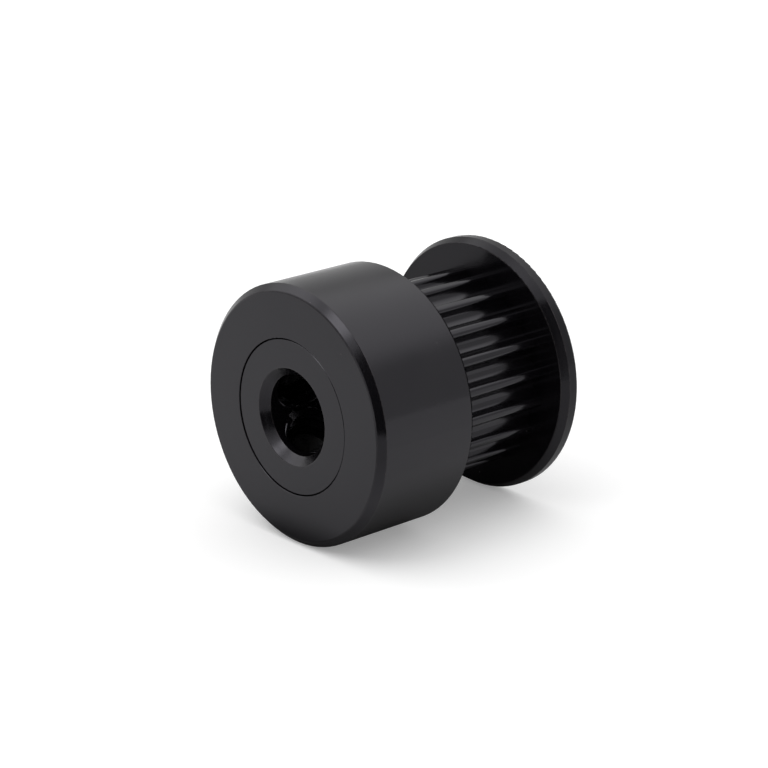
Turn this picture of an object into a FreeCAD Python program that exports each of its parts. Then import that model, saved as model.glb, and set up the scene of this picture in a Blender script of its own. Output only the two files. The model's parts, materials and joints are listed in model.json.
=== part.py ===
"""Timing belt pulley: a toothed barrel with a pressed-on hub collar and end flange, and two set screws.

Millimetres. The bore lies on the Y axis. The origin is on that axis, in the middle plane of the belt track.
The hub is towards -Y and the end flange towards +Y. Angles about the bore run from +X towards +Z.
"""

import FreeCAD, Part

import math
import os

# Belt teeth: rounded groove profile for a belt of 2 mm pitch.
PITCH = 2.0
TEETH = 20
PITCH_LINE_OFFSET = 0.254       # from the tooth tips out to the belt's pitch line
GROOVE_DEPTH = 0.75
FLANK_RADIUS = 1.0
ROOT_RADIUS = 0.62
TIP_FILLET = 0.25

# Lengths along the bore.
HUB_LENGTH = 7.3
TRACK_WIDTH = 7.5
FLANGE_THICKNESS = 1.2

# Diameters.
BORE_DIAMETER = 5.0
SPIGOT_DIAMETER = 9.6           # where the collar and the flange are pressed on
HUB_DIAMETER = 16.0
FLANGE_DIAMETER = 16.0

# Edges.
BORE_CHAMFER = 0.5
BORE_EDGE_ROUND = 0.05          # where the bore's chamfer meets the end face
HUB_CHAMFER = 0.42              # round the hub's end face
HUB_FACE_ROUND = 0.18           # where that chamfer meets the face
HUB_SIDE_ROUND = 0.1            # where it meets the side
REAR_CHAMFER_WIDTH = 0.23       # along the bore, on the hub's edge beside the belt
REAR_CHAMFER_DEPTH = 0.16       # its radial size
REAR_CHAMFER_ROUND = 0.04       # at both edges of that chamfer
SEAM_RECESS = 0.05              # how far the spigots stop short of the end faces
SPIGOT_EDGE_BREAK = 0.1
COLLAR_EDGE_BREAK = 0.02        # inner edge of the collar and the flange at the end faces
FLANGE_LEAD_DEPTH = 0.3         # radial size of the flange's belt-side chamfer
FLANGE_LEAD_WIDTH = 0.5         # its size along the bore
FLANGE_LEAD_ROUND = 0.08        # at both edges of that chamfer
FLANGE_OUTER_ROUND = 0.16       # the flange's far edge

# Set screws: M4 x 4, hexagon socket, cup point.
SCREW_ANGLES = (153.0, 243.0)
SCREW_FROM_HUB_FACE = 2.9
SCREW_HOLE_DIAMETER = 4.0
SCREW_CLEARANCE = 0.02          # radial, between thread crest and hole
SCREW_LENGTH = 4.0
SCREW_TIP_AT = 3.4              # from the bore's axis to the screw's point, backed off the shaft
SCREW_POINT_DIAMETER = 2.4
SCREW_POINT_LENGTH = 0.75
SCREW_END_CHAMFER = 0.35
SCREW_CUP_DIAMETER = 2.0
SCREW_CUP_DEPTH = 0.55
SOCKET_ACROSS_FLATS = 2.0
SOCKET_DEPTH = 1.8
SOCKET_CONE_DEPTH = 0.45        # drill point below the hexagon
SOCKET_MOUTH_DIAMETER = 2.5     # chamfer where the key enters
HOLE_COUNTERSINK = 0.3          # extra radius where a screw hole meets the collar's outside

# Worked out from the above.
TIP_RADIUS = PITCH * TEETH / (2 * math.pi) - PITCH_LINE_OFFSET
BORE_RADIUS = BORE_DIAMETER / 2
SPIGOT_RADIUS = SPIGOT_DIAMETER / 2
HUB_RADIUS = HUB_DIAMETER / 2
FLANGE_RADIUS = FLANGE_DIAMETER / 2
TRACK_START = -TRACK_WIDTH / 2
TRACK_END = TRACK_WIDTH / 2
HUB_FACE = TRACK_START - HUB_LENGTH
FLANGE_FACE = TRACK_END + FLANGE_THICKNESS
SCREW_Y = HUB_FACE + SCREW_FROM_HUB_FACE
SCREW_HOLE_RADIUS = SCREW_HOLE_DIAMETER / 2
SCREW_RADIUS = SCREW_HOLE_RADIUS - SCREW_CLEARANCE

ORIGIN = FreeCAD.Vector(0, 0, 0)
AXIS = FreeCAD.Vector(0, 1, 0)


def polar(radius, angle, y=0.0):
    """The point at that radius and angle, in radians, about the bore's axis."""
    return FreeCAD.Vector(radius * math.cos(angle), y, radius * math.sin(angle))


def rounded_outline(corners):
    """A closed wire through (x, y) or (x, y, round) corners, each with its round put in as an arc."""
    points = [FreeCAD.Vector(corner[0], corner[1], 0) for corner in corners]
    rounds = [corner[2] if len(corner) > 2 else 0 for corner in corners]
    arrivals, departures, arcs = [], [], []
    for i, point in enumerate(points):
        if not rounds[i]:
            arrivals.append(point)
            departures.append(point)
            arcs.append(None)
            continue
        back = (points[i - 1] - point).normalize()
        ahead = (points[(i + 1) % len(points)] - point).normalize()
        half_angle = back.getAngle(ahead) / 2
        reach = rounds[i] / math.tan(half_angle)
        inward = (back + ahead).normalize()
        middle = point + inward * (rounds[i] / math.sin(half_angle) - rounds[i])
        arrivals.append(point + back * reach)
        departures.append(point + ahead * reach)
        arcs.append(Part.Arc(arrivals[i], middle, departures[i]).toShape())
    edges = []
    for i, arc in enumerate(arcs):
        if arc:
            edges.append(arc)
        edges.append(Part.LineSegment(departures[i], arrivals[(i + 1) % len(points)]).toShape())
    return Part.Wire(edges)


def turned(outline):
    """A solid turned about the Y axis from (radius, y) or (radius, y, round) corners."""
    return Part.Face(rounded_outline(outline)).revolve(ORIGIN, AXIS, 360)


def groove_points(centre_angle):
    """Points of one belt groove, from its first tip fillet to its last, as (start, middle, end) arcs.

    In the groove's own axes, out is the radius through its middle and across is square to it. The flank arcs
    are centred on the tip circle and run tangent into the root arc and the tip fillets.
    """
    root_centre = TIP_RADIUS - GROOVE_DEPTH + ROOT_RADIUS
    flank_offset = math.sqrt((FLANK_RADIUS - ROOT_RADIUS) ** 2 - (TIP_RADIUS - root_centre) ** 2)
    flank_out, flank_across = TIP_RADIUS, -flank_offset

    # The fillet is tangent to the tip circle from inside and to the flank arc from outside.
    fillet_reach = TIP_RADIUS - TIP_FILLET
    flank_reach = FLANK_RADIUS + TIP_FILLET
    flank_distance = math.hypot(flank_out, flank_across)
    cosine = fillet_reach ** 2 + flank_distance ** 2 - flank_reach ** 2
    cosine /= 2 * fillet_reach * flank_distance
    fillet_angle = math.atan2(flank_across, flank_out) + math.acos(cosine)
    fillet_out = fillet_reach * math.cos(fillet_angle)
    fillet_across = fillet_reach * math.sin(fillet_angle)

    def on_circle(out, across, radius, angle):
        return out + radius * math.cos(angle), across + radius * math.sin(angle)

    land_angle = fillet_angle
    to_flank = math.atan2(flank_across - fillet_across, flank_out - fillet_out)
    to_root = math.atan2(flank_across, root_centre - flank_out)
    to_fillet = math.atan2(fillet_across - flank_across, fillet_out - flank_out)
    root_turn = math.atan2(-flank_across, root_centre - flank_out)

    def middle(first, last):
        """Halfway between two directions, the short way round."""
        turn = (last - first + math.pi) % (2 * math.pi) - math.pi
        return first + turn / 2

    land_end = on_circle(fillet_out, fillet_across, TIP_FILLET, land_angle)
    fillet_end = on_circle(fillet_out, fillet_across, TIP_FILLET, to_flank)
    fillet_mid = on_circle(fillet_out, fillet_across, TIP_FILLET, middle(land_angle, to_flank))
    flank_end = on_circle(flank_out, flank_across, FLANK_RADIUS, root_turn)
    flank_mid = on_circle(flank_out, flank_across, FLANK_RADIUS, middle(to_fillet, root_turn))
    root_mid = (TIP_RADIUS - GROOVE_DEPTH, 0.0)

    def mirrored(point):
        return point[0], -point[1]

    right = [(land_end, fillet_mid, fillet_end), (fillet_end, flank_mid, flank_end)]
    root = (flank_end, root_mid, mirrored(flank_end))
    left = [tuple(mirrored(p) for p in reversed(arc)) for arc in reversed(right)]

    def placed(point):
        out, across = point
        return polar(math.hypot(out, across), centre_angle + math.atan2(across, out), TRACK_START)

    return [tuple(placed(p) for p in arc) for arc in [*right, root, *left]]


def toothed_track():
    """The toothed length of the barrel, solid to the axis."""
    edges = []
    step = 2 * math.pi / TEETH
    for i in range(TEETH):
        arcs = groove_points(-i * step)
        following = groove_points(-(i + 1) * step)
        land = (arcs[-1][2], polar(TIP_RADIUS, -(i + 0.5) * step, TRACK_START), following[0][0])
        edges += [Part.Arc(*arc).toShape() for arc in [*arcs, land]]
    return Part.Face(Part.Wire(edges)).extrude(FreeCAD.Vector(0, TRACK_WIDTH, 0))


def spigot(shoulder, end_face):
    """A spigot from the track's shoulder to just short of an end face, with its outer edge broken."""
    outward = 1 if end_face > shoulder else -1
    tip = end_face - outward * SEAM_RECESS
    return turned([
        (0, shoulder),
        (SPIGOT_RADIUS, shoulder),
        (SPIGOT_RADIUS, tip - outward * SPIGOT_EDGE_BREAK),
        (SPIGOT_RADIUS - SPIGOT_EDGE_BREAK, tip),
        (0, tip),
    ])


def bore_cutter():
    """The bore with a chamfer at both mouths, each chamfer's outer edge rounded into the end face."""
    mouth = BORE_RADIUS + BORE_CHAMFER
    rim = mouth + BORE_EDGE_ROUND
    near = HUB_FACE + SEAM_RECESS
    far = FLANGE_FACE - SEAM_RECESS
    return turned([
        (0, near - 1),
        (rim, near - 1),
        (rim, near),
        (mouth, near, BORE_EDGE_ROUND),
        (BORE_RADIUS, near + BORE_CHAMFER),
        (BORE_RADIUS, far - BORE_CHAMFER),
        (mouth, far, BORE_EDGE_ROUND),
        (rim, far),
        (rim, far + 1),
        (0, far + 1),
    ])


def along_screw(shape, angle):
    """Turns a shape made along +X from the bore's axis to lie along a screw hole."""
    placed = shape.copy()
    placed.rotate(ORIGIN, AXIS, -angle)
    placed.translate(FreeCAD.Vector(0, SCREW_Y, 0))
    return placed


def screw_hole_cutter(angle):
    """One screw hole from the bore to outside the collar, with its countersink."""
    out = FreeCAD.Vector(1, 0, 0)
    hole = Part.makeCylinder(SCREW_HOLE_RADIUS, HUB_RADIUS + 1, ORIGIN, out)
    wide = SCREW_HOLE_RADIUS + HOLE_COUNTERSINK
    sink_from = FreeCAD.Vector(HUB_RADIUS - HOLE_COUNTERSINK, 0, 0)
    sink = Part.makeCone(SCREW_HOLE_RADIUS, wide + 1, HOLE_COUNTERSINK + 1, sink_from, out)
    return along_screw(hole.fuse(sink), angle)


def toothed_core():
    """The barrel: spigot, toothed track and spigot in one piece, bored and cross-drilled."""
    body = toothed_track()
    body = body.fuse(spigot(TRACK_START, HUB_FACE))
    body = body.fuse(spigot(TRACK_END, FLANGE_FACE))
    body = body.cut(bore_cutter())
    for angle in SCREW_ANGLES:
        body = body.cut(screw_hole_cutter(angle))
    return body.removeSplitter()


def hub_collar():
    """The ring that makes the hub and the belt track's first side."""
    ring = turned([
        (SPIGOT_RADIUS + COLLAR_EDGE_BREAK, HUB_FACE),
        (HUB_RADIUS - HUB_CHAMFER, HUB_FACE, HUB_FACE_ROUND),
        (HUB_RADIUS, HUB_FACE + HUB_CHAMFER, HUB_SIDE_ROUND),
        (HUB_RADIUS, TRACK_START - REAR_CHAMFER_WIDTH, REAR_CHAMFER_ROUND),
        (HUB_RADIUS - REAR_CHAMFER_DEPTH, TRACK_START, REAR_CHAMFER_ROUND),
        (SPIGOT_RADIUS, TRACK_START),
        (SPIGOT_RADIUS, HUB_FACE + COLLAR_EDGE_BREAK),
    ])
    for angle in SCREW_ANGLES:
        ring = ring.cut(screw_hole_cutter(angle))
    return ring


def end_flange():
    """The belt track's second side, chamfered towards the belt."""
    return turned([
        (SPIGOT_RADIUS, TRACK_END),
        (FLANGE_RADIUS - FLANGE_LEAD_DEPTH, TRACK_END, FLANGE_LEAD_ROUND),
        (FLANGE_RADIUS, TRACK_END + FLANGE_LEAD_WIDTH, FLANGE_LEAD_ROUND),
        (FLANGE_RADIUS, FLANGE_FACE, FLANGE_OUTER_ROUND),
        (SPIGOT_RADIUS + COLLAR_EDGE_BREAK, FLANGE_FACE),
        (SPIGOT_RADIUS, FLANGE_FACE - COLLAR_EDGE_BREAK),
    ])


def about_x(outline):
    """A solid turned about the X axis from (x, radius) corners."""
    return Part.Face(rounded_outline(outline)).revolve(ORIGIN, FreeCAD.Vector(1, 0, 0), 360)


def hexagon_prism(across_flats, start, length):
    """A six-sided prism along +X."""
    corner = across_flats / math.sqrt(3)
    points = []
    for i in range(6):
        angle = math.radians(60 * i)
        points.append(FreeCAD.Vector(start, corner * math.cos(angle), corner * math.sin(angle)))
    face = Part.Face(Part.makePolygon(points + points[:1]))
    return face.extrude(FreeCAD.Vector(length, 0, 0))


def set_screw(angle):
    """One set screw in its hole, its point towards the bore and its socket outwards."""
    tip = SCREW_TIP_AT
    head = tip + SCREW_LENGTH
    body = about_x([
        (tip, 0),
        (tip, SCREW_POINT_DIAMETER / 2),
        (tip + SCREW_POINT_LENGTH, SCREW_RADIUS),
        (head - SCREW_END_CHAMFER, SCREW_RADIUS),
        (head, SCREW_RADIUS - SCREW_END_CHAMFER),
        (head, 0),
    ])
    cup = about_x([
        (tip - 1, 0),
        (tip - 1, SCREW_CUP_DIAMETER / 2),
        (tip, SCREW_CUP_DIAMETER / 2),
        (tip + SCREW_CUP_DEPTH, 0),
    ])
    floor = head - SOCKET_DEPTH
    socket = hexagon_prism(SOCKET_ACROSS_FLATS, floor, SOCKET_DEPTH + 1)
    drill_point = about_x([
        (floor, 0),
        (floor, SOCKET_ACROSS_FLATS / 2),
        (floor - SOCKET_CONE_DEPTH, 0),
    ])
    mouth_depth = (SOCKET_MOUTH_DIAMETER - SOCKET_ACROSS_FLATS) / 2
    mouth = about_x([
        (head - mouth_depth, 0),
        (head - mouth_depth, SOCKET_ACROSS_FLATS / 2),
        (head, SOCKET_MOUTH_DIAMETER / 2),
        (head + 1, SOCKET_MOUTH_DIAMETER / 2),
        (head + 1, 0),
    ])
    for cutter in (cup, socket, drill_point, mouth):
        body = body.cut(cutter)
    return along_screw(body, angle)


def main():
    os.makedirs("parts", exist_ok=True)
    parts = {
        "toothed_core": toothed_core(),
        "hub_collar": hub_collar(),
        "end_flange": end_flange(),
    }
    for number, angle in enumerate(SCREW_ANGLES, start=1):
        parts[f"set_screw_{number}"] = set_screw(angle)
    for name, shape in parts.items():
        solid = shape.Solids[0]
        print(name, "solids", len(shape.Solids), "valid", shape.isValid(), "volume", round(solid.Volume, 3))
        solid.exportStep(f"parts/{name}.step")


main()
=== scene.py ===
"""Looks of the timing belt pulley: black anodised turned aluminium and two blackened, threaded set screws.

Metres, in the part's own frame: the bore lies on Y with the hub towards -Y, and +Z is up. Sizes given in
millimetres are multiplied by MM. Only the materials work in millimetres, so that their marks have handy
scales.
"""

import json
import math

import bmesh
import bpy
from mathutils import Matrix, Vector

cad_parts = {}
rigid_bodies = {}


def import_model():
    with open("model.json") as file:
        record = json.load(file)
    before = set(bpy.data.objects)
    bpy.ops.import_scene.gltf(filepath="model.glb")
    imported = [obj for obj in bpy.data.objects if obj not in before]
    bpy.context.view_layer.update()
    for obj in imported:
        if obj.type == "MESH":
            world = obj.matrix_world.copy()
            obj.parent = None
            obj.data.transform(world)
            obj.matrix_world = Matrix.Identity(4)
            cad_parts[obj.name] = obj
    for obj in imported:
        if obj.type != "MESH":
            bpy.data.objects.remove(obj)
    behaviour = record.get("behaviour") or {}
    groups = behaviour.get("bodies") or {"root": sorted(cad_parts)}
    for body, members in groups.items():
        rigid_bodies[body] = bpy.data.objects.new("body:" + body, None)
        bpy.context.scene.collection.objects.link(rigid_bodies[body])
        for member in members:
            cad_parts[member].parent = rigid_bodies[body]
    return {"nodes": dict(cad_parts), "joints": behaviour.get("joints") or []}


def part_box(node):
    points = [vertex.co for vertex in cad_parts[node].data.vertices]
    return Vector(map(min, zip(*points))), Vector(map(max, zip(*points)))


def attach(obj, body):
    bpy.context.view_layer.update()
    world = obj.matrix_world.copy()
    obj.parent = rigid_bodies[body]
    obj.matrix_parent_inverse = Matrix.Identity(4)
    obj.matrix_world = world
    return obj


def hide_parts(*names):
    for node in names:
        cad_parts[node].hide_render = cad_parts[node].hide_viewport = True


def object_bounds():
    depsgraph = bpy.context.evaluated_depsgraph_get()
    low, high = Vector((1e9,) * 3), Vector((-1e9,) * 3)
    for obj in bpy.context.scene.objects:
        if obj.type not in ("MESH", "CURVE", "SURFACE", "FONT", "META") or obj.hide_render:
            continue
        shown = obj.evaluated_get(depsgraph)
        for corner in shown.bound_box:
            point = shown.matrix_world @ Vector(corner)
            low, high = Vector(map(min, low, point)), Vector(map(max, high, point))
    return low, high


MM = 0.001

# The camera: its direction from the object, its distance, how far beside and above the middle of the
# object's bounds it aims, and its lens.
CAMERA_AZIMUTH = 47.91
CAMERA_ELEVATION = 18.909
CAMERA_DISTANCE = 160.77 * MM
CAMERA_AIM_RIGHT = -0.45 * MM
CAMERA_AIM_UP = 0.236 * MM
SENSOR_WIDTH = 36.0
LENS = 124.06

# Screw threads: M4 coarse, 60 degrees, with the depths of the metric profile.
THREAD_PITCH = 0.7 * MM
THREAD_MAJOR_RADIUS = 2.0 * MM
SCREW_CREST_HALF = THREAD_PITCH / 16
SCREW_ROOT_RADIUS = THREAD_MAJOR_RADIUS - 0.6134 * THREAD_PITCH
NUT_CREST_RADIUS = THREAD_MAJOR_RADIUS - 0.5413 * THREAD_PITCH
FLANK_SLOPE = math.sqrt(3)          # depth over length along the axis
HOLE_PLAY = 0.015 * MM              # how far the thread stands inside the plain hole's wall
SCREW_PLAY = 0.035 * MM             # how far the screw's surface stands inside the nominal thread
POINTS_ROUND = 96
FLANK_STEPS = 4
SHARP_ANGLE = 30                    # degrees; edges that turn more than this stay sharp

# Set screws.
SOCKET_ACROSS_FLATS = 2.0 * MM
SOCKET_DEPTH = 1.8 * MM
SOCKET_CONE_DEPTH = 0.45 * MM
SOCKET_DRILL_RADIUS = 0.96 * MM
SOCKET_MOUTH_RADIUS = 1.25 * MM
SCREW_END_CHAMFER = 0.33 * MM
SCREW_POINT_RADIUS = 1.2 * MM
SCREW_POINT_LENGTH = 0.75 * MM
SCREW_CUP_RADIUS = 1.0 * MM
SCREW_CUP_DEPTH = 0.55 * MM
SCREW_CUP_FLOOR_RADIUS = 0.3 * MM
SCREW_CUP_FLOOR_RISE = 0.1375 * MM  # how much shallower the cup is at that radius
SCREW_CUP_LIP = 0.05 * MM
SCREW_CUP_LIP_DEPTH = 0.04 * MM

# The pulley.
BORE_RADIUS = 2.5 * MM
BORE_CHAMFER = 0.5 * MM
SPIGOT_RADIUS = 4.8 * MM
HUB_CHAMFER = 0.42 * MM
FLANGE_LEAD_DEPTH = 0.3 * MM
FLANGE_LEAD_WIDTH = 0.5 * MM
COUNTERSINK_FROM = 7.7 * MM         # where a screw hole starts to widen

# The anodised finish. Widths on the surface are in millimetres, heights of marks in metres.
TURNED_ANISOTROPY = 0.7
TURNED_ROTATION = 0.25              # the marks run round, so the gloss spreads across them
FILM_DARK = (0.0024, 0.0022, 0.0029)
FILM_PALE = (0.0038, 0.0033, 0.0041)
# Lighter film along the edges, where it is thin and worn; it is also a painted highlight along them.
FILM_WORN_HIGHLIGHT = (0.035, 0.031, 0.030)
FILM_TINT = (0.98, 0.955, 1.05)     # of its gloss
WORN_HIGHLIGHT_WIDTH = 0.07
WORN_HIGHLIGHT_SHARE = 0.5
CUT_WIDTH = 0.3
DUST_COLOUR = (0.09, 0.083, 0.085)
DUST_RADIUS = 0.035
DUST_CELLS_PER_MM = 1.1
DUST_SHARE = 0.16
DUST_HEIGHT = 6e-6
MARK_HEIGHT = 0.9e-6
GRAIN_HEIGHT = 1.1e-6

# The blackened steel.
OXIDE_DARK = (0.020, 0.020, 0.022)
OXIDE_PALE = (0.042, 0.040, 0.040)
OXIDE_GRAIN_HEIGHT = 1.5e-6

# The studio. A soft light is its azimuth, elevation, full and outer angles in degrees, and strength.
WALL_LIGHT = 0.58
WALL_TOP = 30                       # degrees up, where the walls start to brighten into the ceiling
CEILING_LIGHT = 1.2
CEILING_FROM = 47                   # degrees up, where the ceiling starts
KEY_LIGHT = (-5, 52, 3, 14, 1.6)
KEY_SPREAD = (2, 66, 4, 24, 0.6)
LEFT_LIGHT = (-66, 38, 6, 28, 0.68)
SOFT_LIGHTS = (KEY_LIGHT, KEY_SPREAD, LEFT_LIGHT)
BACKDROP_LIGHT = 1.0
FLOOR_HALF_WIDTH = 1.0
FLOOR_SEEN_ALBEDO = 0.85
FLOOR_SEEN_GLOW = 0.25              # keeps the sheet white to the camera
# The object's gloss sees a darker copy of the sheet with painted shade: a painted contact shadow beside the
# object and a painted shadow of the dark flag in front of it.
FLOOR_REFLECTED_SHADED_ALBEDO = 0.7        # what the object's gloss sees of it
CONTACT_SHADE = (1.5 * MM, 12 * MM, 0.2)            # darkest within, gone beyond, and how dark
CONTACT_SHADE_FADES_FASTER = 3.0    # past the object's ends than beside it
FLAG_SHADE = (18 * MM, 34 * MM, 0.66)
FLAG_SHADE_AT = (20 * MM, -41 * MM)                 # the X and Y of its middle
FLAG_AZIMUTH = 45
FLAG_DISTANCE = 58 * MM
FLAG_HEIGHT = 97 * MM
FLAG_LEFT = -22.2 * MM
FLAG_RIGHT = 40.6 * MM

WELD = 1e-7

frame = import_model()
cad_low, cad_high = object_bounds()


# Materials ------------------------------------------------------------------------------------------

class Nodes:
    """Short calls for building the node tree of a material or a world."""

    def __init__(self, owner, shader):
        owner.use_nodes = True
        self.tree = owner.node_tree
        self.shader = self.tree.nodes[shader]

    def add(self, kind, **settings):
        node = self.tree.nodes.new(kind)
        for key, value in settings.items():
            setattr(node, key, value)
        return node

    def link(self, source, target):
        self.tree.links.new(source, target)

    def put(self, socket, value):
        """Links value to the socket if it is one, and sets it if it is a number."""
        if isinstance(value, bpy.types.NodeSocket):
            self.link(value, socket)
        else:
            socket.default_value = value

    def math(self, operation, first, second=0.0):
        node = self.add("ShaderNodeMath", operation=operation)
        self.put(node.inputs[0], first)
        self.put(node.inputs[1], second)
        return node.outputs[0]

    def noise(self, vector, scale, detail=2.0, roughness=0.5):
        node = self.add("ShaderNodeTexNoise")
        self.link(vector, node.inputs["Vector"])
        node.inputs["Scale"].default_value = scale
        node.inputs["Detail"].default_value = detail
        node.inputs["Roughness"].default_value = roughness
        return node.outputs["Fac"]

    def remap(self, value, low, high, to_low, to_high, smooth=False):
        node = self.add("ShaderNodeMapRange")
        node.interpolation_type = "SMOOTHSTEP" if smooth else "LINEAR"
        self.put(node.inputs["Value"], value)
        node.inputs["From Min"].default_value = low
        node.inputs["From Max"].default_value = high
        node.inputs["To Min"].default_value = to_low
        node.inputs["To Max"].default_value = to_high
        return node.outputs["Result"]

    def ramp(self, value, *stops):
        """Colours along a value, as (position, (r, g, b)) stops."""
        node = self.add("ShaderNodeValToRGB")
        elements = node.color_ramp.elements
        while len(elements) < len(stops):
            elements.new(0.5)
        for element, (position, colour) in zip(elements, stops):
            element.position = position
            element.color = (*colour, 1.0)
        self.put(node.inputs["Fac"], value)
        return node.outputs["Color"]

    def bump(self, height, distance, under=None):
        """The normal of a surface with that height, where 1 stands distance metres high. It is added to the
        normal under it, if there is one.
        """
        node = self.add("ShaderNodeBump")
        node.inputs["Strength"].default_value = 1.0
        node.inputs["Distance"].default_value = distance
        self.link(height, node.inputs["Height"])
        if under:
            self.link(under, node.inputs["Normal"])
        return node.outputs["Normal"]

    def object_millimetres(self):
        """The point's place in the part's frame, in millimetres, moving with its body."""
        scale = self.add("ShaderNodeVectorMath", operation="SCALE")
        self.link(self.add("ShaderNodeTexCoord").outputs["Object"], scale.inputs[0])
        scale.inputs["Scale"].default_value = 1 / MM
        return scale.outputs[0]

    def split(self, vector):
        node = self.add("ShaderNodeSeparateXYZ")
        self.link(vector, node.inputs[0])
        return node.outputs

    def combine(self, x=0.0, y=0.0, z=0.0):
        node = self.add("ShaderNodeCombineXYZ")
        for socket, value in zip(node.inputs, (x, y, z)):
            self.put(socket, value)
        return node.outputs[0]

    def length(self, first, second):
        squares = self.math("ADD", self.math("POWER", first, 2), self.math("POWER", second, 2))
        return self.math("SQRT", squares)

    def mix_colour(self, share, first, second):
        node = self.add("ShaderNodeMix", data_type="RGBA")
        self.put(node.inputs["Factor"], share)
        for socket, colour in ((node.inputs[6], first), (node.inputs[7], second)):
            if isinstance(colour, tuple):
                socket.default_value = (*colour, 1.0)
            else:
                self.link(colour, socket)
        return node.outputs[2]


def near_rings(nodes, radius, along, rings, width):
    """1 on each ring, given as (radius, y) in millimetres, fading to 0 at width from it."""
    nearest = None
    for ring_radius, ring_y in rings:
        distance = nodes.length(nodes.math("SUBTRACT", radius, ring_radius),
                                nodes.math("SUBTRACT", along, ring_y))
        nearest = nodes.math("MINIMUM", nearest, distance) if nearest else distance
    return nodes.remap(nearest, 0.0, width, 1.0, 0.0, smooth=True)


def dust(nodes, point, cells_per_mm, radius, share):
    """1 on a few tiny round specks, in about that share of the cells."""
    cells = nodes.add("ShaderNodeTexVoronoi")
    nodes.link(point, cells.inputs["Vector"])
    cells.inputs["Scale"].default_value = cells_per_mm
    chosen = nodes.math("GREATER_THAN", nodes.split(cells.outputs["Color"])[0], 1 - share)
    edge = radius * cells_per_mm
    dot = nodes.remap(cells.outputs["Distance"], edge, 0.4 * edge, 0.0, 1.0)
    return nodes.math("MULTIPLY", chosen, dot)


def black_anodised(name, worn_highlight_rings, cut_rings, cut_roughness=0.0, anisotropy=0.0, reflection=0.5,
                   track_half_width=None):
    """Turned aluminium under a black anodic film. The worn rings are edges where the film is thin and
    lighter: worn film, and also a painted highlight along them. The cut rings are the middles of chamfers,
    whose cutting marks are coarser and which may be rougher. The teeth of a belt track are marked along the
    bore instead of round it.
    """
    material = bpy.data.materials.new(name)
    nodes = Nodes(material, "Principled BSDF")
    point = nodes.object_millimetres()
    x, y, z = nodes.split(point)[:3]
    radius = nodes.length(x, z)
    smudges = nodes.noise(point, 0.45, 3)
    grain = nodes.noise(point, 22, 3, 0.6)

    # Cutting marks run round the bore, so they depend on the radius and the place along it alone.
    marks = nodes.noise(nodes.combine(radius, y), 11, 4, 0.65)
    if track_half_width:
        in_track = nodes.math("LESS_THAN", nodes.math("ABSOLUTE", y), track_half_width)
        streaks = nodes.noise(nodes.combine(x, nodes.math("MULTIPLY", y, 0.06), z), 14, 3, 0.6)
        choose = nodes.add("ShaderNodeMix", data_type="FLOAT")
        nodes.link(in_track, choose.inputs["Factor"])
        nodes.link(marks, choose.inputs[2])
        nodes.link(streaks, choose.inputs[3])
        marks = choose.outputs[0]

    film = nodes.ramp(smudges, (0.3, FILM_DARK), (0.7, FILM_PALE))
    # Lighter film near the edges: thinner, worn film, and also a painted highlight along them.
    thin_film_highlight = nodes.math("MULTIPLY", near_rings(nodes, radius, y, worn_highlight_rings, WORN_HIGHLIGHT_WIDTH),
                           nodes.remap(nodes.noise(point, 5, 3), 0.42, 0.62, 0.15, 1.0))
    film = nodes.mix_colour(nodes.math("MULTIPLY", thin_film_highlight, WORN_HIGHLIGHT_SHARE), film, FILM_WORN_HIGHLIGHT)
    specks = dust(nodes, point, DUST_CELLS_PER_MM, DUST_RADIUS, DUST_SHARE)
    film = nodes.mix_colour(specks, film, DUST_COLOUR)
    nodes.link(film, nodes.shader.inputs["Base Color"])

    chamfers = near_rings(nodes, radius, y, cut_rings, CUT_WIDTH)
    roughness = nodes.math("ADD", nodes.remap(smudges, 0.3, 0.7, 0.13, 0.2),
                           nodes.remap(marks, 0.3, 0.7, -0.02, 0.02))
    roughness = nodes.math("ADD", roughness, nodes.math("MULTIPLY", specks, 0.4))
    roughness = nodes.math("ADD", roughness, nodes.math("MULTIPLY", chamfers, cut_roughness))
    nodes.link(roughness, nodes.shader.inputs["Roughness"])

    turned_normal = nodes.bump(marks, MARK_HEIGHT)
    grain_height = nodes.math("MULTIPLY", grain, nodes.remap(chamfers, 0.0, 1.0, 0.5, 1.6))
    grained_normal = nodes.bump(grain_height, GRAIN_HEIGHT, under=turned_normal)
    nodes.link(nodes.bump(specks, DUST_HEIGHT, under=grained_normal), nodes.shader.inputs["Normal"])

    if anisotropy:
        tangent = nodes.add("ShaderNodeTangent", direction_type="RADIAL", axis="Y")
        nodes.link(tangent.outputs["Tangent"], nodes.shader.inputs["Tangent"])
        nodes.shader.inputs["Anisotropic"].default_value = anisotropy
        nodes.shader.inputs["Anisotropic Rotation"].default_value = TURNED_ROTATION
    nodes.shader.inputs["IOR"].default_value = 1.5
    nodes.shader.inputs["Specular IOR Level"].default_value = reflection
    nodes.shader.inputs["Specular Tint"].default_value = (*FILM_TINT, 1.0)
    return material


def blackened_steel():
    """Black oxide on rolled and broached steel, with a trace of oil."""
    material = bpy.data.materials.new("blackened_steel")
    nodes = Nodes(material, "Principled BSDF")
    point = nodes.object_millimetres()
    patches = nodes.noise(point, 1.6, 4)
    grain = nodes.noise(point, 30, 3, 0.6)
    colour = nodes.ramp(patches, (0.35, OXIDE_DARK), (0.65, OXIDE_PALE))
    nodes.link(colour, nodes.shader.inputs["Base Color"])
    nodes.link(nodes.remap(patches, 0.3, 0.7, 0.24, 0.4), nodes.shader.inputs["Roughness"])
    nodes.link(nodes.bump(grain, OXIDE_GRAIN_HEIGHT), nodes.shader.inputs["Normal"])
    nodes.shader.inputs["Metallic"].default_value = 0.7
    nodes.shader.inputs["Coat Weight"].default_value = 0.3
    nodes.shader.inputs["Coat Roughness"].default_value = 0.2
    return material


# Threads --------------------------------------------------------------------------------------------

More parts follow.
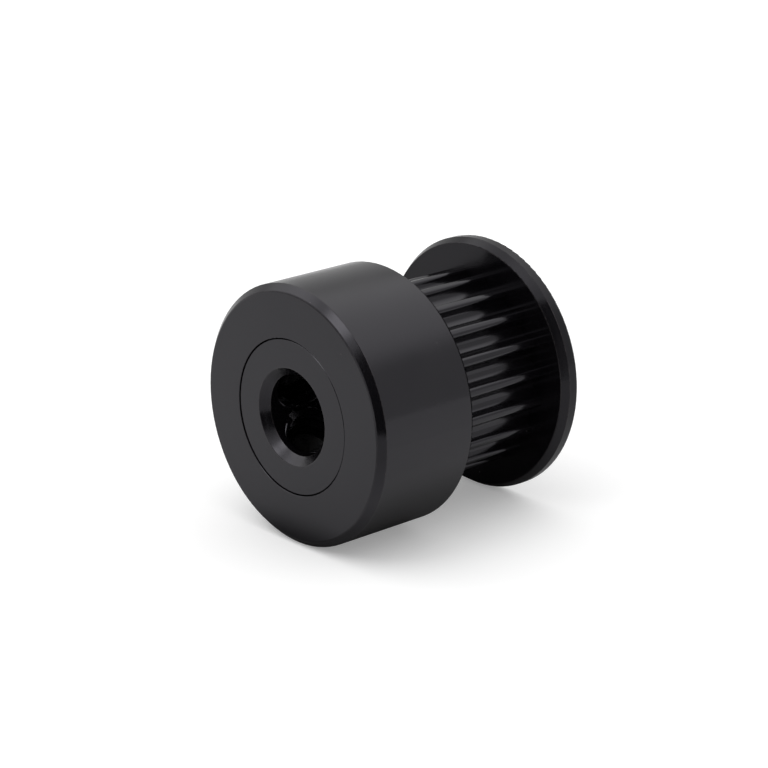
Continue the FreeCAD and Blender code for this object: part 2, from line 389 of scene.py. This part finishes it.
def thread_radius(along, angle, deepest, play):
    """Radius of a right-hand thread's surface at that place along and about its axis. The groove stops at
    the deepest radius, and play moves the whole surface inwards.
    """
    turns = along / THREAD_PITCH - angle / (2 * math.pi)
    from_crest = abs(turns - round(turns)) * THREAD_PITCH
    flank_drop = max(0.0, from_crest - SCREW_CREST_HALF) * FLANK_SLOPE
    return max(THREAD_MAJOR_RADIUS - flank_drop, deepest) - play


def thread_rows(start, end, deepest, radius_at):
    """Rows of points that follow the thread's helix, all held between start and end along the axis.

    radius_at(along, angle) gives the surface. The row a pitch further on carries on where a row ends.
    """
    crest_end = SCREW_CREST_HALF / THREAD_PITCH
    flank_end = crest_end + (THREAD_MAJOR_RADIUS - deepest) / FLANK_SLOPE / THREAD_PITCH
    flank = [crest_end + (flank_end - crest_end) * i / FLANK_STEPS for i in range(FLANK_STEPS + 1)]
    offsets = [0.0, *flank, 0.5, *(1 - place for place in reversed(flank))]
    rows = []
    for turn in range(math.floor(start / THREAD_PITCH) - 2, math.ceil(end / THREAD_PITCH) + 1):
        for offset in offsets:
            row = []
            for i in range(POINTS_ROUND):
                angle = 2 * math.pi * i / POINTS_ROUND
                along = (turn + offset + i / POINTS_ROUND) * THREAD_PITCH
                held = min(max(along, start), end)
                row.append(on_screw(radius_at(held, angle), angle, held))
            rows.append(row)
    return rows, len(offsets)


def on_screw(radius, angle, along):
    """A point in a screw's own axes, where +Z is its axis, pointing away from the bore."""
    return Vector((radius * math.cos(angle), radius * math.sin(angle), along))


def ring(radius_at, along_at):
    """One closed row of points, each with a radius and a place along the axis that depend on its angle."""
    angles = [2 * math.pi * i / POINTS_ROUND for i in range(POINTS_ROUND)]
    return [on_screw(radius_at(angle), angle, along_at(angle)) for angle in angles]


def plain_ring(radius, along):
    return ring(lambda angle: radius, lambda angle: along)


def skin(mesh, rows, wrap=0):
    """Faces between rows of points, where the end of each row meets the start of the row wrap places on."""
    made = [[mesh.verts.new(point) for point in row] for row in rows]
    last = len(made) - 1
    for i in range(last):
        this, following = made[i], made[i + 1]
        this_next = this[1:] + [made[min(i + wrap, last)][0]]
        following_next = following[1:] + [made[min(i + 1 + wrap, last)][0]]
        for corners in zip(this, this_next, following_next, following):
            corners = tuple(dict.fromkeys(corners))
            if len(corners) > 2:
                mesh.faces.new(corners)


def finished(mesh, name, place):
    """An object from a bmesh of loose skins: welded, placed, and smooth except at its sharp edges."""
    bmesh.ops.remove_doubles(mesh, verts=mesh.verts, dist=WELD)
    bmesh.ops.dissolve_degenerate(mesh, edges=mesh.edges, dist=WELD)
    bmesh.ops.recalc_face_normals(mesh, faces=mesh.faces)
    data = bpy.data.meshes.new(name)
    mesh.to_mesh(data)
    mesh.free()
    data.transform(place)
    data.shade_smooth()
    data.set_sharp_from_angle(angle=math.radians(SHARP_ANGLE))
    piece = bpy.data.objects.new(name, data)
    bpy.context.scene.collection.objects.link(piece)
    return piece


class ScrewPlace:
    """Where one set screw is at rest: its own axes in the part's frame, its point and its outer end."""

    def __init__(self, joint):
        outwards = Vector(joint["axis"]).normalized()
        along_bore = Vector((0, 1, 0))
        low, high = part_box(joint["child"])
        self.axes = Matrix((along_bore, outwards.cross(along_bore), outwards)).transposed().to_4x4()
        self.axes.translation = along_bore * (low.y + high.y) / 2
        reach = [vertex.co.dot(outwards) for vertex in frame["nodes"][joint["child"]].data.vertices]
        self.tip, self.head = min(reach), max(reach)


def hexagon_radius(angle):
    """From the socket's middle to its wall."""
    from_flat = (angle + math.pi / 6) % (math.pi / 3) - math.pi / 6
    return SOCKET_ACROSS_FLATS / 2 / math.cos(from_flat)


def set_screw(name, place):
    """A grub screw with its whole thread, a cup point and a hexagon socket with a chamfered mouth."""
    tip, head = place.tip, place.head
    crest = THREAD_MAJOR_RADIUS - SCREW_PLAY
    end_radius = crest - SCREW_END_CHAMFER

    def radius_at(along, angle):
        thread = thread_radius(along, angle, SCREW_ROOT_RADIUS, SCREW_PLAY)
        point_cone = SCREW_POINT_RADIUS + (along - tip) * (crest - SCREW_POINT_RADIUS) / SCREW_POINT_LENGTH
        return min(thread, point_cone, end_radius + (head - along))

    mesh = bmesh.new()
    rows, wrap = thread_rows(tip, head, SCREW_ROOT_RADIUS, radius_at)
    skin(mesh, rows, wrap)
    skin(mesh, [
        plain_ring(0, tip + SCREW_CUP_DEPTH),
        plain_ring(SCREW_CUP_FLOOR_RADIUS, tip + SCREW_CUP_DEPTH - SCREW_CUP_FLOOR_RISE),
        plain_ring(SCREW_CUP_RADIUS, tip + SCREW_CUP_LIP_DEPTH),
        plain_ring(SCREW_CUP_RADIUS + SCREW_CUP_LIP, tip),
        rows[0],
    ])
    floor = head - SOCKET_DEPTH
    skin(mesh, [
        rows[-1],
        plain_ring(SOCKET_MOUTH_RADIUS, head),
        ring(hexagon_radius, lambda angle: head - (SOCKET_MOUTH_RADIUS - hexagon_radius(angle))),
        ring(hexagon_radius, lambda angle: floor),
        plain_ring(SOCKET_DRILL_RADIUS, floor),
        plain_ring(0, floor - SOCKET_CONE_DEPTH),
    ])
    return finished(mesh, name, place.axes)


BORE_AXES = Matrix.Rotation(math.pi / 2, 4, "X")
CUTTER_REACH = 30 * MM              # well past the pulley
CUTTER_SIDES = 256


def carve(piece, operation, radius, axes=BORE_AXES, start=-CUTTER_REACH):
    """Cuts a cylinder about the Z of those axes out of piece, from start on, or keeps what is inside it."""
    length = CUTTER_REACH - start
    middle = Matrix.Translation((0, 0, start + length / 2))
    mesh = bmesh.new()
    bmesh.ops.create_cone(mesh, cap_ends=True, segments=CUTTER_SIDES, radius1=radius, radius2=radius,
                          depth=length, matrix=axes @ middle)
    cutter = finished(mesh, "cutter", Matrix())
    modifier = piece.modifiers.new("carve", "BOOLEAN")
    modifier.operation = operation
    modifier.solver = "EXACT"
    modifier.object = cutter
    carved = bpy.data.meshes.new_from_object(piece.evaluated_get(bpy.context.evaluated_depsgraph_get()))
    piece.modifiers.clear()
    piece.data = carved
    carved.name = piece.name
    bpy.data.objects.remove(cutter)


def hole_thread(name, place, others, inner, outer):
    """The tapped thread of a screw hole between two radii from the bore's axis, as a sleeve let into the
    wall. The hole's countersink carries on through its crests, and the other screws' holes cut through it
    where they meet beside the bore.
    """
    let_in = THREAD_MAJOR_RADIUS + HOLE_PLAY
    start = inner - THREAD_MAJOR_RADIUS
    end = min(outer + THREAD_PITCH, COUNTERSINK_FROM)

    def radius_at(along, angle):
        countersink = THREAD_MAJOR_RADIUS - (COUNTERSINK_FROM - along)
        return max(thread_radius(along, angle, NUT_CREST_RADIUS, HOLE_PLAY), countersink)

    mesh = bmesh.new()
    rows, wrap = thread_rows(start, end, NUT_CREST_RADIUS, radius_at)
    skin(mesh, rows, wrap)
    skin(mesh, [rows[-1], plain_ring(let_in, end), plain_ring(let_in, start), rows[0]])
    sleeve = finished(mesh, name, place.axes)
    carve(sleeve, "DIFFERENCE", inner)
    for other in others:
        carve(sleeve, "DIFFERENCE", THREAD_MAJOR_RADIUS, other.axes, start=0.0)
    if outer < end:
        carve(sleeve, "INTERSECT", outer)
    return sleeve


# The pieces -----------------------------------------------------------------------------------------

def millimetres(*rings):
    return [(radius / MM, along / MM) for radius, along in rings]


def finish_with(piece, material):
    piece.data.materials.clear()
    piece.data.materials.append(material)


core_low, core_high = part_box("toothed_core")
hub_low, hub_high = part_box("hub_collar")
flange_low, flange_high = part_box("end_flange")
hub_radius, flange_radius = hub_high.x, flange_high.x

# Each finish takes its edges first, whose lighter film is partly a painted highlight, and then the middles
# of its chamfers.
core_anodised = black_anodised(
    "black_anodised_core",
    millimetres(
        (BORE_RADIUS + BORE_CHAMFER, core_low.y),
        (BORE_RADIUS, core_low.y + BORE_CHAMFER),
        (BORE_RADIUS + BORE_CHAMFER, core_high.y),
        (BORE_RADIUS, core_high.y - BORE_CHAMFER),
    ),
    millimetres(
        (BORE_RADIUS + BORE_CHAMFER / 2, core_low.y + BORE_CHAMFER / 2),
        (BORE_RADIUS + BORE_CHAMFER / 2, core_high.y - BORE_CHAMFER / 2),
    ),
    cut_roughness=0.05,
    track_half_width=flange_low.y / MM,
)
hub_anodised = black_anodised(
    "black_anodised_hub",
    millimetres(
        (hub_radius - HUB_CHAMFER, hub_low.y),
        (hub_radius, hub_low.y + HUB_CHAMFER),
    ),
    millimetres((hub_radius - HUB_CHAMFER / 2, hub_low.y + HUB_CHAMFER / 2)),
    anisotropy=TURNED_ANISOTROPY,
)
flange_anodised = black_anodised(
    "black_anodised_flange",
    millimetres(
        (flange_radius - FLANGE_LEAD_DEPTH, flange_low.y),
        (flange_radius, flange_low.y + FLANGE_LEAD_WIDTH),
        (flange_radius, flange_high.y),
    ),
    millimetres((flange_radius - FLANGE_LEAD_DEPTH / 2, flange_low.y + FLANGE_LEAD_WIDTH / 2)),
    anisotropy=TURNED_ANISOTROPY,
    reflection=0.3,
)
steel = blackened_steel()

finish_with(frame["nodes"]["toothed_core"], core_anodised)
finish_with(frame["nodes"]["hub_collar"], hub_anodised)
finish_with(frame["nodes"]["end_flange"], flange_anodised)

places = {joint["child"]: ScrewPlace(joint) for joint in frame["joints"]}
for joint in frame["joints"]:
    node = joint["child"]
    place = places[node]
    others = [other for name, other in places.items() if name != node]
    finish_with(frame["nodes"][node], steel)
    screw = set_screw(node + "_threaded", place)
    finish_with(screw, steel)
    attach(screw, node)
    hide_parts(node)
    number = node.rsplit("_", 1)[1]
    for owner, anodised, inner, outer in (
        ("toothed_core", core_anodised, BORE_RADIUS + HOLE_PLAY, SPIGOT_RADIUS),
        ("hub_collar", hub_anodised, SPIGOT_RADIUS, hub_radius),
    ):
        thread = hole_thread(f"{owner}_thread_{number}", place, others, inner, outer)
        finish_with(thread, anodised)
        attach(thread, joint["parent"])


# The studio -----------------------------------------------------------------------------------------

def direction(azimuth, elevation):
    """Unit vector towards a place round the object: azimuth 0 is -Y, where the hub faces, and 90 is +X."""
    azimuth, elevation = math.radians(azimuth), math.radians(elevation)
    return Vector((
        math.sin(azimuth) * math.cos(elevation),
        -math.cos(azimuth) * math.cos(elevation),
        math.sin(elevation),
    ))


def glow(nodes, towards, centre, core_angle, edge_angle, strength):
    """A soft round light in the world: full strength to core_angle from its centre, gone by edge_angle."""
    facing = nodes.add("ShaderNodeVectorMath", operation="DOT_PRODUCT")
    nodes.link(towards, facing.inputs[0])
    facing.inputs[1].default_value = centre
    edge, core = (math.cos(math.radians(angle)) for angle in (edge_angle, core_angle))
    return nodes.remap(facing.outputs["Value"], edge, core, 0.0, strength, smooth=True)


def studio_world():
    """Pale walls, a brighter ceiling and the soft lights. The camera itself sees plain white."""
    world = bpy.data.worlds.new("studio")
    nodes = Nodes(world, "Background")
    towards = nodes.add("ShaderNodeTexCoord").outputs["Generated"]
    height = nodes.split(towards)[2]
    wall_top, ceiling_from = (math.sin(math.radians(angle)) for angle in (WALL_TOP, CEILING_FROM))
    light = nodes.remap(height, wall_top, ceiling_from, WALL_LIGHT, CEILING_LIGHT, smooth=True)
    for azimuth, elevation, core_angle, edge_angle, strength in SOFT_LIGHTS:
        centre = direction(azimuth, elevation)
        light = nodes.math("ADD", light, glow(nodes, towards, centre, core_angle, edge_angle, strength))
    seen_by_camera = nodes.add("ShaderNodeLightPath").outputs["Is Camera Ray"]
    choose = nodes.add("ShaderNodeMix", data_type="FLOAT")
    nodes.link(seen_by_camera, choose.inputs["Factor"])
    nodes.link(light, choose.inputs[2])
    choose.inputs[3].default_value = BACKDROP_LIGHT
    nodes.link(choose.outputs[0], nodes.shader.inputs["Strength"])
    nodes.shader.inputs["Color"].default_value = (1.0, 1.0, 1.0, 1.0)
    bpy.context.scene.world = world


def flat_panel(name, corners, material):
    mesh = bmesh.new()
    mesh.faces.new([mesh.verts.new(corner) for corner in corners])
    panel = finished(mesh, name, Matrix())
    finish_with(panel, material)
    return panel


def shade(nodes, distance, extent):
    """A soft round painted shade, as a factor."""
    within, beyond, darkest = extent
    return nodes.remap(distance, within, beyond, darkest, 1.0, smooth=True)


def floor_sheet():
    """A matt white sheet. The object's gloss sees it with painted shade: duller overall, with a painted
    contact shadow beside the object and a painted shadow of the dark flag in front of it.
    """
    material = bpy.data.materials.new("white_sheet")
    nodes = Nodes(material, "Principled BSDF")
    point = nodes.add("ShaderNodeTexCoord").outputs["Object"]
    x, y = nodes.split(point)[:2]
    beyond_ends = nodes.math("MAXIMUM", nodes.math("SUBTRACT", cad_low.y, y),
                             nodes.math("SUBTRACT", y, cad_high.y))
    beyond_ends = nodes.math("MAXIMUM", beyond_ends, 0.0)
    from_contact = nodes.length(x, nodes.math("MULTIPLY", beyond_ends, CONTACT_SHADE_FADES_FASTER))
    from_flag_shade = nodes.length(nodes.math("SUBTRACT", x, FLAG_SHADE_AT[0]),
                                   nodes.math("SUBTRACT", y, FLAG_SHADE_AT[1]))
    # Painted shade that only the object's gloss sees: a contact shadow beside the object and the dark flag's
    # shadow.
    reflected = nodes.math("MULTIPLY", shade(nodes, from_contact, CONTACT_SHADE),
                           shade(nodes, from_flag_shade, FLAG_SHADE))
    reflected = nodes.math("MULTIPLY", reflected, FLOOR_REFLECTED_SHADED_ALBEDO)
    seen_by_camera = nodes.add("ShaderNodeLightPath").outputs["Is Camera Ray"]
    albedo = nodes.add("ShaderNodeMix", data_type="FLOAT")
    nodes.link(seen_by_camera, albedo.inputs["Factor"])
    nodes.link(reflected, albedo.inputs[2])
    albedo.inputs[3].default_value = FLOOR_SEEN_ALBEDO
    nodes.link(albedo.outputs[0], nodes.shader.inputs["Base Color"])
    seen_glow = nodes.math("MULTIPLY", seen_by_camera, FLOOR_SEEN_GLOW)
    nodes.link(seen_glow, nodes.shader.inputs["Emission Strength"])
    nodes.shader.inputs["Emission Color"].default_value = (1.0, 1.0, 1.0, 1.0)
    nodes.shader.inputs["Roughness"].default_value = 0.9
    nodes.shader.inputs["Specular IOR Level"].default_value = 0.0
    corners = [
        (FLOOR_HALF_WIDTH * x, FLOOR_HALF_WIDTH * y, cad_low.z)
        for x, y in ((-1, -1), (1, -1), (1, 1), (-1, 1))
    ]
    flat_panel("floor", corners, material)


def dark_flag():
    """A black card that only the object's gloss sees. It stands on the floor, on the camera's side."""
    material = bpy.data.materials.new("black_card")
    nodes = Nodes(material, "Principled BSDF")
    nodes.shader.inputs["Base Color"].default_value = (0.03, 0.03, 0.032, 1.0)
    nodes.shader.inputs["Roughness"].default_value = 1.0
    nodes.shader.inputs["Specular IOR Level"].default_value = 0.0
    outwards = direction(FLAG_AZIMUTH, 0)
    sideways = Vector((math.cos(math.radians(FLAG_AZIMUTH)), math.sin(math.radians(FLAG_AZIMUTH)), 0))
    foot = outwards * FLAG_DISTANCE + Vector((0, (cad_low.y + cad_high.y) / 2, cad_low.z))
    up = Vector((0, 0, FLAG_HEIGHT))
    left, right = foot + sideways * FLAG_LEFT, foot + sideways * FLAG_RIGHT
    flag = flat_panel("dark_flag", [left, right, right + up, left + up], material)
    flag.visible_camera = False
    flag.visible_diffuse = False
    flag.visible_shadow = False


def camera():
    """Looks a little beside and above the middle of the object's bounds."""
    data = bpy.data.cameras.new("camera")
    data.sensor_width = SENSOR_WIDTH
    data.lens = LENS
    data.clip_start = 1 * MM
    data.clip_end = 10
    away = direction(CAMERA_AZIMUTH, CAMERA_ELEVATION)
    turn = away.to_track_quat("Z", "Y")
    middle = Vector((0, (cad_low.y + cad_high.y) / 2, 0))
    aim = middle + turn @ Vector((CAMERA_AIM_RIGHT, CAMERA_AIM_UP, 0))
    seen_from = bpy.data.objects.new("camera", data)
    seen_from.rotation_mode = "QUATERNION"
    seen_from.rotation_quaternion = turn
    seen_from.location = aim + away * CAMERA_DISTANCE
    bpy.context.scene.collection.objects.link(seen_from)
    bpy.context.scene.camera = seen_from


studio_world()
floor_sheet()
dark_flag()
camera()
bpy.context.scene.view_settings.view_transform = "Standard"
